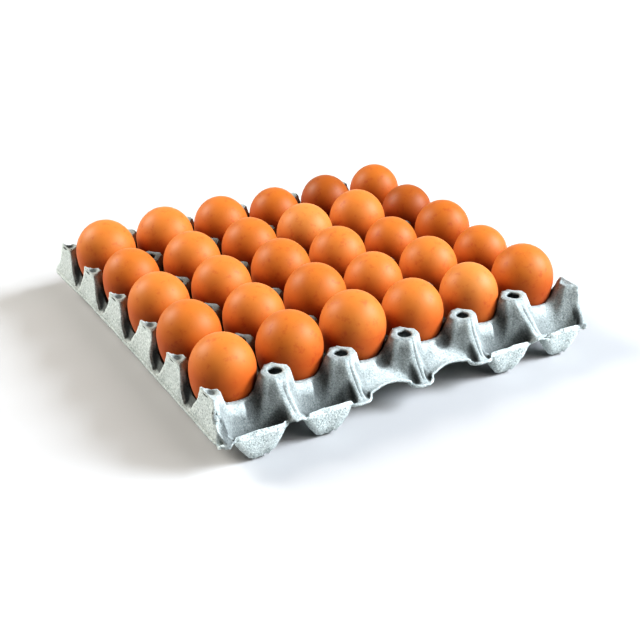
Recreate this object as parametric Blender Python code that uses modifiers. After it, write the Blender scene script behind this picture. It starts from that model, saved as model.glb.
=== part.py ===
"""Thirty hen's eggs standing blunt end up in a moulded pulp tray.

The tray is one sheet of pulp: posts on a square lattice, saddles between
them and a round cup in every cell. The sheet is laid out as rings of points
around each post and each cup, faces join the rings, and a Solidify modifier
gives it its thickness. Every egg is a turned shape of its own size that
rests on the wall of its cup.

Frame: metres, +Z up, the cups stand on z = 0, the six columns of eggs run
along X and the five rows along Y, and the origin is below the middle.
"""
import math
import random

import bmesh
import bpy
from mathutils import Matrix, Vector

# Lattice.
COLUMNS = 6
ROWS = 5
PITCH = 0.0485
WALL = 0.0020

# Posts: octagons that stand on the lattice points.
POST_TOP_Z = 0.0465
POST_TOP_HALF = 0.0098
POST_TOP_SIDE = 0.0026
POST_BASE_Z = 0.0350
POST_BASE_HALF = 0.0128
POST_BASE_SIDE = 0.0042
POST_HOLE_RADIUS = 0.0048

# Saddles between neighbouring posts, and the cups.
SADDLE_Z = 0.0332
SADDLE_HALF = 0.0032
CUP_FLOOR_Z = WALL
CUP_FLOOR_RADIUS = 0.0098

# Outer edge: the line where the walls end, and the flange outside it.
RIM_HALF_X = 0.1468
RIM_HALF_Y = 0.1435
FLANGE_HALF_X = 0.1485
FLANGE_HALF_Y = 0.1465
SIDE_RIM_Z = 0.0214

# Side walls (at both ends of X): flat panels in front of the half posts.
PANEL_TOP_X = 0.1436
PANEL_TOP_HALF = 0.0098
PANEL_FOOT_HALF = 0.0215
CORNER_INSET = 0.0016

# End aprons (at both ends of Y): ribs, half cups cut off by a slanting wall
# under a lip, and arches. APRON_POINTS run from rib to rib.
APRON_POINTS = 5
RIB_FOOT_HALF = 0.0040
RIB_FOOT_Z = {0: 0.0214, 1: 0.0258, 2: 0.0216, 3: 0.0191}
LIP_Z = 0.0217
LIP_INSET = 0.0020
ARCH_Z = 0.0256
ARCH_INSET = 0.0072
ARCH_QUARTER_INSET = 0.0052
POCKET_COLUMNS = (0, 1, 4, 5)
POCKET_AXIS_Y = -(ROWS + 1) / 2 * PITCH
POCKET_MID_Z = 0.0140
POCKET_MID_RADIUS = 0.0150
POCKET_MID_INSET = 0.0066
POCKET_FLOOR_Z = 0.0032
POCKET_FLOOR_RADIUS = 0.0102
POCKET_FLOOR_INSET = 0.0088

# Eggs. A wide egg is no longer than a slim one, so only its width varies.
# The rows run from the front, each from the left: slim, middling or wide.
EGG_RADIUS = 0.0216
EGG_BLUNT = 0.0236
EGG_LENGTH = 0.0574
EGG_WIDTHS = {"s": 0.960, "m": 1.000, "w": 1.035}
EGG_ROWS = ("mwwmsw", "mmwmms", "mmwmsm", "smmwws", "wwmsss")
EGG_UNEVENNESS = 0.008
EGG_TILT_DEG = 3.0
EGG_GAP = 0.0004
EGG_SIDES = 10
EGG_RINGS = 6
SEED = 30


def clear_scene():
    """Remove every object and the collections left empty."""
    for old in list(bpy.data.objects):
        bpy.data.objects.remove(old, do_unlink=True)
    for old in list(bpy.data.collections):
        bpy.data.collections.remove(old)


def make_material(name, colour, roughness):
    """A Principled material of one colour."""
    material = bpy.data.materials.new(name)
    material.use_nodes = True
    shader = material.node_tree.nodes["Principled BSDF"]
    shader.inputs["Base Color"].default_value = (*colour, 1.0)
    shader.inputs["Roughness"].default_value = roughness
    shader.inputs["Metallic"].default_value = 0.0
    return material


def post_xy(i, j):
    """Centre of the post on lattice point (i, j)."""
    return (i - COLUMNS / 2) * PITCH, (j - ROWS / 2) * PITCH


def cup_xy(column, row):
    """Centre of the cup in a cell of the lattice."""
    x, y = post_xy(column, row)
    return x + PITCH / 2, y + PITCH / 2


def octagon(centre, half, side, z):
    """Eight points around a post: a pair on each lattice direction.

    They run anticlockwise from the lower point of the +X pair, so points
    0 and 1 face +X, 2 and 3 face +Y, 4 and 5 face -X, 6 and 7 face -Y.
    """
    pairs = ((half, -side), (half, side), (side, half), (-side, half),
             (-half, side), (-half, -side), (-side, -half), (side, -half))
    return [Vector((centre[0] + x, centre[1] + y, z)) for x, y in pairs]


def arc(centre, radius, angles, z):
    """Points on a level circle at the given angles."""
    return [Vector((centre[0] + radius * math.cos(a), centre[1] + radius * math.sin(a), z))
            for a in angles]


def post_base(i, j):
    """The ring where a post meets its saddles and cups."""
    return octagon(post_xy(i, j), POST_BASE_HALF, POST_BASE_SIDE, POST_BASE_Z)


def post_top(i, j):
    """The outer ring of a post's flat top."""
    return octagon(post_xy(i, j), POST_TOP_HALF, POST_TOP_SIDE, POST_TOP_Z)


def saddle_x(i, j):
    """The two middle points of the saddle from post (i, j) to (i + 1, j), low Y first."""
    x, y = post_xy(i, j)
    x += PITCH / 2
    return Vector((x, y - SADDLE_HALF, SADDLE_Z)), Vector((x, y + SADDLE_HALF, SADDLE_Z))


def saddle_y(i, j):
    """The two middle points of the saddle from post (i, j) to (i, j + 1), low X first."""
    x, y = post_xy(i, j)
    y += PITCH / 2
    return Vector((x - SADDLE_HALF, y, SADDLE_Z)), Vector((x + SADDLE_HALF, y, SADDLE_Z))


class Sheet:
    """An open surface, gathered face by face and merged at the end."""

    def __init__(self):
        self.mesh = bmesh.new()

    def face(self, points):
        """Add one face through the given points."""
        self.mesh.faces.new([self.mesh.verts.new(p) for p in points])

    def loft(self, low, high):
        """Join two rings of points of equal length with four-sided faces."""
        for k in range(len(low)):
            n = (k + 1) % len(low)
            self.face([low[k], low[n], high[n], high[k]])

    def mirrored(self, flip_x, flip_y):
        """A face function that mirrors its points across the middle planes."""
        def add(points):
            moved = [Vector((-p.x if flip_x else p.x, -p.y if flip_y else p.y, p.z)) for p in points]
            self.face(moved if flip_x == flip_y else moved[::-1])
        return add


def add_full_post(sheet, i, j):
    """A post with a hole through its flat top."""
    centre = post_xy(i, j)
    hole_half = POST_HOLE_RADIUS * math.cos(math.pi / 8)
    hole_side = POST_HOLE_RADIUS * math.sin(math.pi / 8)
    hole = octagon(centre, hole_half, hole_side, POST_TOP_Z)
    sheet.loft(post_top(i, j), hole)
    sheet.loft(post_base(i, j), post_top(i, j))


def add_saddles(sheet):
    """The strips between neighbouring posts that are not on the side walls."""
    for j in range(ROWS + 1):
        for i in range(COLUMNS):
            here, there = post_base(i, j), post_base(i + 1, j)
            low, high = saddle_x(i, j)
            sheet.face([here[0], low, high, here[1]])
            sheet.face([low, there[5], there[4], high])
    for j in range(ROWS):
        for i in range(1, COLUMNS):
            here, there = post_base(i, j), post_base(i, j + 1)
            left, right = saddle_y(i, j)
            sheet.face([here[3], here[2], right, left])
            sheet.face([left, right, there[7], there[6]])


def cup_outline(column, row):
    """The twelve points around a cup's mouth, anticlockwise."""
    a, b = post_base(column, row), post_base(column + 1, row)
    c, d = post_base(column + 1, row + 1), post_base(column, row + 1)
    south, north = saddle_x(column, row)[1], saddle_x(column, row + 1)[0]
    east, west = saddle_y(column + 1, row)[0], saddle_y(column, row)[1]
    return [a[1], south, b[4], b[3], east, c[6], c[5], north, d[0], d[7], west, a[2]]


def add_cup(sheet, column, row):
    """A round tapering cup with a flat floor."""
    centre = cup_xy(column, row)
    outline = cup_outline(column, row)
    angles = [math.atan2(p.y - centre[1], p.x - centre[0]) for p in outline]
    floor = arc(centre, CUP_FLOOR_RADIUS, angles, CUP_FLOOR_Z)
    sheet.loft(floor, outline)
    sheet.face(floor)


def side_points(j):
    """The outer points of the half post (0, j): panel top and panel foot, low Y first."""
    y = post_xy(0, j)[1]
    top = [Vector((-PANEL_TOP_X, y + s * PANEL_TOP_HALF, POST_TOP_Z)) for s in (-1, 1)]
    foot = [Vector((-RIM_HALF_X, y + s * PANEL_FOOT_HALF, SIDE_RIM_Z)) for s in (-1, 1)]
    return top, foot


def add_half_post(face, j):
    """A half post, its flat outer panel and the flanks beside the panel."""
    top, base = post_top(0, j), post_base(0, j)
    edge, foot = side_points(j)
    face([top[7], top[0], top[1], top[2], edge[1], edge[0]])
    for k in (7, 0, 1):
        n = (k + 1) % len(top)
        face([base[k], base[n], top[n], top[k]])
    face([edge[0], edge[1], foot[1], foot[0]])
    face([top[2], base[2], edge[1]])
    face([edge[1], base[2], foot[1]])
    face([base[7], top[7], edge[0]])
    face([base[7], edge[0], foot[0]])


def add_sill(face, j):
    """The low stretch of side wall between the half posts (0, j) and (0, j + 1)."""
    here, there = post_base(0, j), post_base(0, j + 1)
    foot, next_foot = side_points(j)[1][1], side_points(j + 1)[1][0]
    sill = saddle_y(0, j)[1]
    face([here[2], sill, foot])
    face([sill, there[7], next_foot])
    face([foot, sill, next_foot])


def rib_foot(i):
    """The two points where the rib in front of post (i, 0) ends, low X first."""
    x = post_xy(i, 0)[0]
    z = RIB_FOOT_Z[min(i, COLUMNS - i)]
    return [Vector((x + s * RIB_FOOT_HALF, -RIM_HALF_Y, z)) for s in (-1, 1)]


def add_rib(face, i):
    """The sloping top of the rib in front of post (i, 0)."""
    base = post_base(i, 0)
    left, right = rib_foot(i)
    face([left, right, base[7], base[6]])


def add_corner(face):
    """The rounded corner of the rim at post (0, 0)."""
    base = post_base(0, 0)
    foot = side_points(0)[1][0]
    right = rib_foot(0)[1]
    middle = Vector((-RIM_HALF_X + CORNER_INSET, -RIM_HALF_Y + CORNER_INSET / 2, SIDE_RIM_Z))
    face([base[7], foot, middle, right])


def upper_chain(column):
    """The inner edge of an apron cell, from its left rib to its right rib."""
    a, b = post_base(column, 0), post_base(column + 1, 0)
    return [a[7], a[0], saddle_x(column, 0)[0], b[5], b[6]]


def lip_points(column, z, insets):
    """The rim of an apron cell, from its left rib to its right rib."""
    left, right = rib_foot(column)[1], rib_foot(column + 1)[0]
    steps = [k / (APRON_POINTS - 1) for k in range(1, APRON_POINTS - 1)]
    between = [Vector((left.x + t * (right.x - left.x), -RIM_HALF_Y + inset, z))
               for t, inset in zip(steps, insets)]
    return [left, *between, right]


def pocket_ring(column, radius, inset, z):
    """A level arc round a pocket, between the two points where its outer wall cuts it."""
    start = math.asin(inset / radius)
    span = math.pi - 2 * start
    angles = [math.pi - start - span * k / (APRON_POINTS - 1) for k in range(APRON_POINTS)]
    return arc((cup_xy(column, 0)[0], POCKET_AXIS_Y), radius, angles, z)


def add_pocket(face, column):
    """A half cup in the apron, closed by a slanting wall under the lip."""
    upper = upper_chain(column)
    lip = lip_points(column, LIP_Z, (LIP_INSET, LIP_INSET, LIP_INSET))
    middle = pocket_ring(column, POCKET_MID_RADIUS, POCKET_MID_INSET, POCKET_MID_Z)
    floor = pocket_ring(column, POCKET_FLOOR_RADIUS, POCKET_FLOOR_INSET, POCKET_FLOOR_Z)
    for k in range(APRON_POINTS - 1):
        face([middle[k], middle[k + 1], upper[k + 1], upper[k]])
        face([floor[k], floor[k + 1], middle[k + 1], middle[k]])
    face(floor[::-1])
    face([lip[0], middle[0], upper[0]])
    face([middle[-1], lip[-1], upper[-1]])
    face([middle[0], *lip, middle[-1], floor[-1], floor[0]])


def add_arch(face, column):
    """An apron cell without a pocket, whose rim arches up."""
    insets = (ARCH_QUARTER_INSET, ARCH_INSET, ARCH_QUARTER_INSET)
    lip = lip_points(column, ARCH_Z, insets)
    upper = upper_chain(column)
    for k in range(APRON_POINTS - 1):
        face([lip[k], lip[k + 1], upper[k + 1], upper[k]])


def add_flange(mesh):
    """Draw the outer boundary out into a narrow flange."""
    outer = [e for e in mesh.edges if e.is_boundary and not is_hole_edge(e)]
    drawn = bmesh.ops.extrude_edge_only(mesh, edges=outer)["geom"]
    for vert in (g for g in drawn if isinstance(g, bmesh.types.BMVert)):
        vert.co.x *= FLANGE_HALF_X / RIM_HALF_X
        vert.co.y *= FLANGE_HALF_Y / RIM_HALF_Y


def is_hole_edge(edge):
    """Whether both ends of an edge lie level with the posts' tops."""
    return all(v.co.z > POST_TOP_Z - WALL / 2 for v in edge.verts)


def build_tray(collection, material):
    """The tray: one sheet of pulp of even thickness."""
    sheet = Sheet()
    for j in range(ROWS + 1):
        for i in range(1, COLUMNS):
            add_full_post(sheet, i, j)
    add_saddles(sheet)
    for row in range(ROWS):
        for column in range(COLUMNS):
            add_cup(sheet, column, row)
    for flip_x in (False, True):
        face = sheet.mirrored(flip_x, False)
        for j in range(ROWS + 1):
            add_half_post(face, j)
        for j in range(ROWS):
            add_sill(face, j)
        for flip_y in (False, True):
            add_corner(sheet.mirrored(flip_x, flip_y))
    for flip_y in (False, True):
        face = sheet.mirrored(False, flip_y)
        for i in range(1, COLUMNS):
            add_rib(face, i)
        for column in range(COLUMNS):
            if column in POCKET_COLUMNS:
                add_pocket(face, column)
            else:
                add_arch(face, column)
    mesh = sheet.mesh
    bmesh.ops.remove_doubles(mesh, verts=mesh.verts, dist=1e-5)
    bmesh.ops.recalc_face_normals(mesh, faces=mesh.faces)
    add_flange(mesh)
    bmesh.ops.recalc_face_normals(mesh, faces=mesh.faces)
    if sum(f.normal.z for f in mesh.faces) < 0:
        bmesh.ops.reverse_faces(mesh, faces=mesh.faces)
    data = bpy.data.meshes.new("tray")
    mesh.to_mesh(data)
    mesh.free()
    tray = bpy.data.objects.new("tray", data)
    tray.data.materials.append(material)
    collection.objects.link(tray)
    thickness = tray.modifiers.new("pulp thickness", "SOLIDIFY")
    thickness.solidify_mode = "NON_MANIFOLD"
    thickness.nonmanifold_thickness_mode = "CONSTRAINTS"
    thickness.nonmanifold_boundary_mode = "NONE"
    thickness.thickness = WALL
    thickness.offset = -1.0
    return tray


def resting_height(radius, pointed, tilt):
    """Height of an egg's widest section when its pointed end rests in a cup.

    The cup's wall is a cone, and its twelve sides come nearest the egg at
    their middles. The egg's pointed half is half an ellipse turned about its
    axis, whose reach towards the wall is largest on the side it leans to.
    """
    side = math.cos(math.pi / 12)
    mouth_radius = PITCH / 2 - SADDLE_HALF
    slope = (mouth_radius - CUP_FLOOR_RADIUS * side) / (SADDLE_Z - CUP_FLOOR_Z)
    lean = math.atan(slope) + tilt
    reach = math.hypot(radius * math.cos(lean), pointed * math.sin(lean))
    return (math.hypot(1.0, slope) * (reach + EGG_GAP) - mouth_radius) / slope + SADDLE_Z


def egg_mesh(name, radius, blunt, pointed):
    """A sphere drawn to an egg's width and to its length above and below the widest section."""
    mesh = bmesh.new()
    bmesh.ops.create_uvsphere(mesh, u_segments=EGG_SIDES, v_segments=EGG_RINGS, radius=1.0)
    for vert in mesh.verts:
        length = blunt if vert.co.z > 0.0 else pointed
        vert.co = (vert.co.x * radius, vert.co.y * radius, vert.co.z * length)
    data = bpy.data.meshes.new(name)
    mesh.to_mesh(data)
    mesh.free()
    data.shade_smooth()
    return data


def build_eggs(collection, material):
    """One egg in every cup, each of its own size and tilt."""
    chance = random.Random(SEED)
    for row in range(ROWS):
        for column in range(COLUMNS):
            width = EGG_WIDTHS[EGG_ROWS[row][column]] + chance.uniform(-EGG_UNEVENNESS, EGG_UNEVENNESS)
            length = EGG_LENGTH * (1.0 + chance.uniform(-EGG_UNEVENNESS, EGG_UNEVENNESS))
            radius, blunt = EGG_RADIUS * width, EGG_BLUNT * width
            pointed = length - blunt
            name = f"egg_r{row + 1}c{column + 1}"
            egg = bpy.data.objects.new(name, egg_mesh(name, radius, blunt, pointed))
            egg.data.materials.append(material)
            collection.objects.link(egg)
            tilt = math.radians(chance.uniform(0.0, EGG_TILT_DEG))
            lean = Matrix.Rotation(chance.uniform(0.0, math.tau), 3, "Z") @ Vector((1.0, 0.0, 0.0))
            egg.rotation_euler = Matrix.Rotation(tilt, 3, lean).to_euler()
            egg.location = (*cup_xy(column, row), resting_height(radius, pointed, tilt))


def main():
    """Build the tray and its eggs in one collection."""
    clear_scene()
    collection = bpy.data.collections.new("tray of eggs")
    bpy.context.scene.collection.children.link(collection)
    pulp = make_material("moulded pulp", (0.52, 0.57, 0.55), 0.95)
    shell = make_material("eggshell", (0.72, 0.28, 0.08), 0.45)
    build_tray(collection, pulp)
    build_eggs(collection, shell)


main()
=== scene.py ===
"""The looks of a moulded pulp tray that holds thirty brown hen's eggs.

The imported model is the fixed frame: one node for the tray and one for every
egg, all on one body. The tray's node is replaced by a fine pulp sheet, whose
form is a relief over a grid, and each egg's node by a smooth egg of the same
length, width and lean. Everything is in metres, +Z up, and the cups stand
on z = 0.
"""
import logging
import math
from dataclasses import dataclass
from enum import Enum
from typing import Any, Sequence

import bmesh
import bpy
import numpy as np
from mathutils import Matrix, Vector


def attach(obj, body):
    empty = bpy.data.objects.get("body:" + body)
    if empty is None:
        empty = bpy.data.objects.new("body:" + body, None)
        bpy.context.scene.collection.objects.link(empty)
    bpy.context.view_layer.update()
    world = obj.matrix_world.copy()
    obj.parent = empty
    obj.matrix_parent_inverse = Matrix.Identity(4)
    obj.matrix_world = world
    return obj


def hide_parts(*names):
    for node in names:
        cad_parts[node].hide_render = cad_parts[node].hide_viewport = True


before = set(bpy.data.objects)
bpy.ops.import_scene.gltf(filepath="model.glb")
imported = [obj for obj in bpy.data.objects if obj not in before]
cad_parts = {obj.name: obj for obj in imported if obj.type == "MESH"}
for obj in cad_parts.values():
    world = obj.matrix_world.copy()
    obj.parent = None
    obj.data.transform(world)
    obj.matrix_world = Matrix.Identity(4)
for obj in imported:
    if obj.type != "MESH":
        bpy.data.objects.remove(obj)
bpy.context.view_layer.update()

log = logging.getLogger("tray of eggs")

BODY = "root"
TRAY_NODE = "tray"

Array = np.ndarray
Pair = tuple[float, float]
Triple = tuple[float, float, float]

# Settings that several shader nodes share.
COLOURS = {"data_type": "RGBA"}
MULTIPLY = {"operation": "MULTIPLY"}
SMOOTH = {"interpolation_type": "SMOOTHSTEP"}

TINY = 1e-9  # keeps a divisor off zero
SAME_LINE = 1e-5  # grid lines closer than this are one line
OVAL_EDGE = 1.5  # above 1, an oval hollow is flatter in the middle and steeper at its edge

# Large odd numbers that scatter soft_noise's corners, and the shift of its pattern for each seed.
CELL_PRIMES = (73856093, 19349663, 83492791)
SEED_PRIME = 2654435
MIX_PRIME = 1274126177
SEED_SHIFT = 17.31


# --- small tools ---


def linear(hex_colour: str) -> tuple[float, float, float, float]:
    """Turn six sRGB hex digits into the linear colour, with an alpha of 1, that a shader takes."""
    channels = [int(hex_colour[k:k + 2], 16) / 255 for k in (0, 2, 4)]
    return (*[c / 12.92 if c <= 0.04045 else ((c + 0.055) / 1.055) ** 2.4 for c in channels], 1.0)


def smooth_min(a: Array, b: Array, blend: float | Array) -> Array:
    """The lower of two heights, rounded where they are within a blend of each other."""
    share = np.clip(0.5 + 0.5 * (b - a) / blend, 0.0, 1.0)
    return b * (1 - share) + a * share - blend * share * (1 - share)


def smooth_max(a: Array, b: Array, blend: float | Array) -> Array:
    """The higher of two heights, rounded where they cross, as smooth_min does."""
    return -smooth_min(-a, -b, blend)


def eased(value: Array, low: float, high: float) -> Array:
    """Rise smoothly from 0 at low to 1 at high."""
    t = np.clip((value - low) / (high - low), 0.0, 1.0)
    return t * t * (3 - 2 * t)


def faded(value: Array, fade: Triple) -> Array:
    """A weight that comes in smoothly between two places, given as the weight and the places."""
    return fade[0] * eased(value, fade[1], fade[2])


def bell(value: Array, middle: float, half: float) -> Array:
    """A soft bump that is 1 at the middle and falls to a third at half either side of it."""
    return np.exp(-((value - middle) / half) ** 2)


def oval(across: Array, along: Array, radii: Pair) -> Array:
    """A shallow oval hollow of two radii: 1 in its middle, falling to 0 outside it."""
    away = (across / radii[0]) ** 2 + (along / radii[1]) ** 2
    return np.exp(-away ** OVAL_EDGE)


def soft_noise(points: Array, size: float, seed: int) -> Array:
    """Smooth random numbers from about -1 to 1 at points in space.

    Args:
        points: an array of n by 3 positions.
        size: the size of one lump, in the same unit as the points.
        seed: which of the endless patterns is used.

    Returns:
        One number for each point.
    """
    grid = points / size + seed * SEED_SHIFT
    base = np.floor(grid).astype(np.int64)
    part = grid - base
    ease = part * part * (3 - 2 * part)
    total = np.zeros(len(points))
    for corner in np.ndindex(2, 2, 2):
        cell = base + np.array(corner)
        mixed = np.bitwise_xor.reduce(cell * CELL_PRIMES, axis=1) ^ (seed * SEED_PRIME)
        mixed = (mixed ^ (mixed >> 13)) * MIX_PRIME & 0x7FFFFFFF
        mixed = (mixed ^ (mixed >> 16)) & 0xFFFF
        weight = np.prod(np.where(np.array(corner) == 1, ease, 1 - ease), axis=1)
        total += weight * (mixed / (0xFFFF / 2) - 1)
    return total


def add_node(tree: bpy.types.NodeTree, kind: str, settings: dict[str, Any] | None = None,
             inputs: dict[str, Any] | None = None) -> bpy.types.Node:
    """Add a shader node with its settings and inputs.

    Args:
        tree: the node tree.
        kind: the node's type, without the leading ShaderNode.
        settings: attributes to set on the node.
        inputs: values for its input sockets, or output sockets to link there, by name or number.

    Returns:
        The new node.
    """
    node = tree.nodes.new("ShaderNode" + kind)
    for name, value in (settings or {}).items():
        setattr(node, name, value)
    for name, value in (inputs or {}).items():
        socket = node.inputs[int(name)] if name.isdigit() else node.inputs[name]
        if isinstance(value, bpy.types.NodeSocket):
            tree.links.new(value, socket)
        else:
            socket.default_value = value
    return node


def finish_piece(name: str, mesh: bmesh.types.BMesh, node: str,
                 material: bpy.types.Material) -> bpy.types.Object:
    """Make a mesh a piece of the object that replaces a CAD node.

    Args:
        name: the piece's name.
        mesh: its mesh, already in place, which is freed.
        node: the CAD node that it stands for.
        material: its material.

    Returns:
        The new object, at the origin.
    """
    data = bpy.data.meshes.new(name)
    mesh.to_mesh(data)
    mesh.free()
    piece = bpy.data.objects.new(name, data)
    bpy.context.scene.collection.objects.link(piece)
    data.materials.append(material)
    data.shade_smooth()
    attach(piece, BODY)
    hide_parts(node)
    log.info("%s: %d faces", name, len(data.polygons))
    return piece


# --- finishes ---


@dataclass(frozen=True)
class MouldedPulp:
    """Moulded paper pulp, drawn onto a wire screen and dried.

    It is matt and pale grey-green. The side that lay on the mould is felted
    and fairly even; the other side and the cut edges are coarse, with
    clumped fibres that show as light and dark flecks. The mesh's grain
    attribute says how coarse a place is; coarse places are toned lighter, and
    more so on the left side wall than the right, which is painted light. The
    attribute "depth" holds painted shade: how deep in a recess a place lies.
    """

    colour: str = "a0a6a5"
    clump_colour: str = "919a98"
    dark_fleck: str = "525d5a"
    light_fleck: str = "c1c7c2"

    # Each noise is its grain in mm, its finer layers and their strength. Real fibres are 0.03 mm thick
    # and flecks a few tenths of a mm long, too fine to show: both are drawn as coarse as they need to be.
    clumps: Triple = (6.0, 3.0, 0.6)
    flecks: Triple = (1.3, 3.0, 0.65)
    fibres: Triple = (0.6, 2.0, 0.5)
    dark_range: Pair = (0.50, 0.30)
    light_range: Pair = (0.52, 0.70)
    fleck_share: Pair = (0.36, 0.80)
    felt_strength: float = 0.5
    felt_height: float = 0.0004
    coarse_strength: Pair = (0.25, 1.0)
    coarse_height: float = 0.0009

    # Painted shade: the colour darkens to a fifth deep in a recess.
    painted_shade_tone: Pair = (1.0, 0.20)
    # Coarse places are toned up to 1.6 times lighter; through the grain of the side walls' panels this is
    # painted light, more on the left wall than the right.
    grain_light_tone: Pair = (1.0, 1.60)
    roughness: float = 0.93
    specular: float = 0.2

    def material(self) -> bpy.types.Material:
        """Make the material.

        Returns:
            A material that reads Object coordinates, the grain attribute, which also carries painted light,
            and the depth attribute, which holds painted shade.
        """
        # Dried paper fibre: no gloss, an even grey from afar and a speckled felt close by.
        material = bpy.data.materials.new("moulded paper pulp")
        material.use_nodes = True
        tree = material.node_tree
        shader = tree.nodes["Principled BSDF"]
        place = add_node(tree, "TexCoord").outputs["Object"]
        grain_and_light = add_node(tree, "Attribute", {"attribute_name": "grain_and_light"}).outputs["Fac"]
        depth = add_node(tree, "Attribute", {"attribute_name": "depth"}).outputs["Fac"]
        clumps, flecks, fibres = (
            add_node(tree, "TexNoise", inputs={"Vector": place, "Scale": 1000 / size_mm, "Detail": detail,
                                               "Roughness": roughness}).outputs["Fac"]
            for size_mm, detail, roughness in (self.clumps, self.flecks, self.fibres))
        # Of these tones, the third is painted light on coarse places and the side walls, the fourth painted
        # shade in recesses.
        share, strength, grain_light, recess = (
            add_node(tree, "MapRange", inputs={"Value": value, "To Min": ends[0],
                                               "To Max": ends[1]}).outputs["Result"]
            for value, ends in ((grain_and_light, self.fleck_share), (grain_and_light, self.coarse_strength),
                                (grain_and_light, self.grain_light_tone), (depth, self.painted_shade_tone)))

        base = {"0": clumps, "6": linear(self.clump_colour), "7": linear(self.colour)}
        colour = add_node(tree, "Mix", COLOURS, base).outputs[2]
        for fleck, span in ((self.dark_fleck, self.dark_range), (self.light_fleck, self.light_range)):
            found = add_node(tree, "MapRange", SMOOTH, {"Value": flecks, "From Min": span[0],
                                                        "From Max": span[1]}).outputs["Result"]
            amount = add_node(tree, "Math", MULTIPLY, {"0": found, "1": share}).outputs[0]
            flecked = {"0": amount, "6": colour, "7": linear(fleck)}
            colour = add_node(tree, "Mix", COLOURS, flecked).outputs[2]
        # Painted shade and painted light scale the speckled colour.
        tone = add_node(tree, "Math", MULTIPLY, {"0": recess, "1": grain_light}).outputs[0]
        final = add_node(tree, "VectorMath", {"operation": "SCALE"}, {"0": colour, "Scale": tone})
        tree.links.new(final.outputs[0], shader.inputs["Base Color"])
        shader.inputs["Roughness"].default_value = self.roughness
        shader.inputs["Specular IOR Level"].default_value = self.specular

        felt = add_node(tree, "Bump", inputs={"Strength": self.felt_strength, "Distance": self.felt_height,
                                              "Height": fibres}).outputs["Normal"]
        coarse = add_node(tree, "Bump", inputs={"Strength": strength, "Distance": self.coarse_height,
                                                "Height": flecks, "Normal": felt})
        tree.links.new(coarse.outputs["Normal"], shader.inputs["Normal"])
        return material


class EggTone(Enum):
    """How deep the brown of a shell is, with the colour of each."""

    PALE = "b87538"
    WARM = "b56c2d"
    RICH = "ad6324"
    DEEP = "a45b1c"
    DARK = "8e4a10"


@dataclass(frozen=True)
class Eggshell:
    """A brown hen's eggshell: pigment in a matt, chalky skin with a thin satin bloom.

    The brown is cloudy and has ruddy blotches. Low on the egg, where its
    neighbours shade it and throw their brown at it, it is painted warmer and
    darker: painted shade and painted reflected light.
    """

    tone: EggTone

    # Noises are given as above. Real pores are a few hundredths of a mm wide, too fine to show, and
    # are drawn as coarse as they need to be.
    clouds: Triple = (9.0, 3.0, 0.5)
    blotches: Triple = (5.0, 5.0, 0.72)
    pores: Triple = (0.5, 2.0, 0.5)
    cloud_share: Triple = (0.9, 0.84, 0.75)
    blotch_range: Pair = (0.53, 0.68)
    blotch_strength: float = 0.62
    blotch_share: Triple = (0.78, 0.50, 0.55)
    # Painted shade and painted reflected light low on the egg: the heights over which it comes in, and the
    # share of each channel kept.
    low_shade_z: Pair = (0.063, 0.043)
    low_shade_share: Triple = (0.90, 0.58, 0.38)
    pore_strength: float = 0.15
    pore_height: float = 0.0002

    roughness: float = 0.50
    specular: float = 0.16
    sheen: float = 0.05

    def material(self) -> bpy.types.Material:
        """Make the material.

        Returns:
            A material that reads Object coordinates only.
        """
        # Chalk under a dried bloom: a broad soft highlight and no mirror image.
        material = bpy.data.materials.new(f"eggshell {self.tone.name.lower()}")
        material.use_nodes = True
        tree = material.node_tree
        shader = tree.nodes["Principled BSDF"]
        place = add_node(tree, "TexCoord").outputs["Object"]
        clouds, blotches, pores = (
            add_node(tree, "TexNoise", inputs={"Vector": place, "Scale": 1000 / size_mm, "Detail": detail,
                                               "Roughness": roughness}).outputs["Fac"]
            for size_mm, detail, roughness in (self.clouds, self.blotches, self.pores))

        brown = linear(self.tone.value)
        cloudy = (*(c * share for c, share in zip(brown, self.cloud_share)), 1.0)
        ruddy = (*(c * share for c, share in zip(brown, self.blotch_share)), 1.0)
        colour = add_node(tree, "Mix", COLOURS, {"0": clouds, "6": cloudy, "7": brown}).outputs[2]
        found = add_node(tree, "MapRange", SMOOTH,
                         {"Value": blotches, "From Min": self.blotch_range[0],
                          "From Max": self.blotch_range[1], "To Max": self.blotch_strength}).outputs[0]
        colour = add_node(tree, "Mix", COLOURS, {"0": found, "6": colour, "7": ruddy}).outputs[2]
        # Painted shade and painted reflected light: below a height the colour is multiplied warmer and
        # darker.
        height = add_node(tree, "SeparateXYZ", inputs={"Vector": place}).outputs["Z"]
        below = add_node(tree, "MapRange", SMOOTH, {"Value": height, "From Min": self.low_shade_z[0],
                                                    "From Max": self.low_shade_z[1]}).outputs[0]
        low_shaded = add_node(tree, "Mix", {**COLOURS, "blend_type": "MULTIPLY"},
                          {"0": below, "6": colour, "7": (*self.low_shade_share, 1.0)})
        tree.links.new(low_shaded.outputs[2], shader.inputs["Base Color"])
        shader.inputs["Roughness"].default_value = self.roughness
        shader.inputs["Specular IOR Level"].default_value = self.specular
        shader.inputs["Sheen Weight"].default_value = self.sheen
        bump = add_node(tree, "Bump", inputs={"Strength": self.pore_strength, "Distance": self.pore_height,
                                              "Height": pores})
        tree.links.new(bump.outputs["Normal"], shader.inputs["Normal"])
        return material


# --- the tray ---


def spaced(start: float, stops: Sequence[float], parts: Sequence[int]) -> Array:
    """Places in evenly divided stretches.

    Args:
        start: where the first stretch begins.
        stops: the end of each stretch.
        parts: the number of parts that each stretch is divided into.

    Returns:
        The places, from the start to the last stop.
    """
    places = [start]
    for stop, count in zip(stops, parts):
        places.extend(np.linspace(places[-1], stop, count + 1)[1:])
    return np.array(places)


def mirrored(places: Array) -> Array:
    """The places and their mirror images about 0, in rising order."""
    return np.unique(np.round(np.concatenate([-places, places]), decimals=7))


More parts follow.
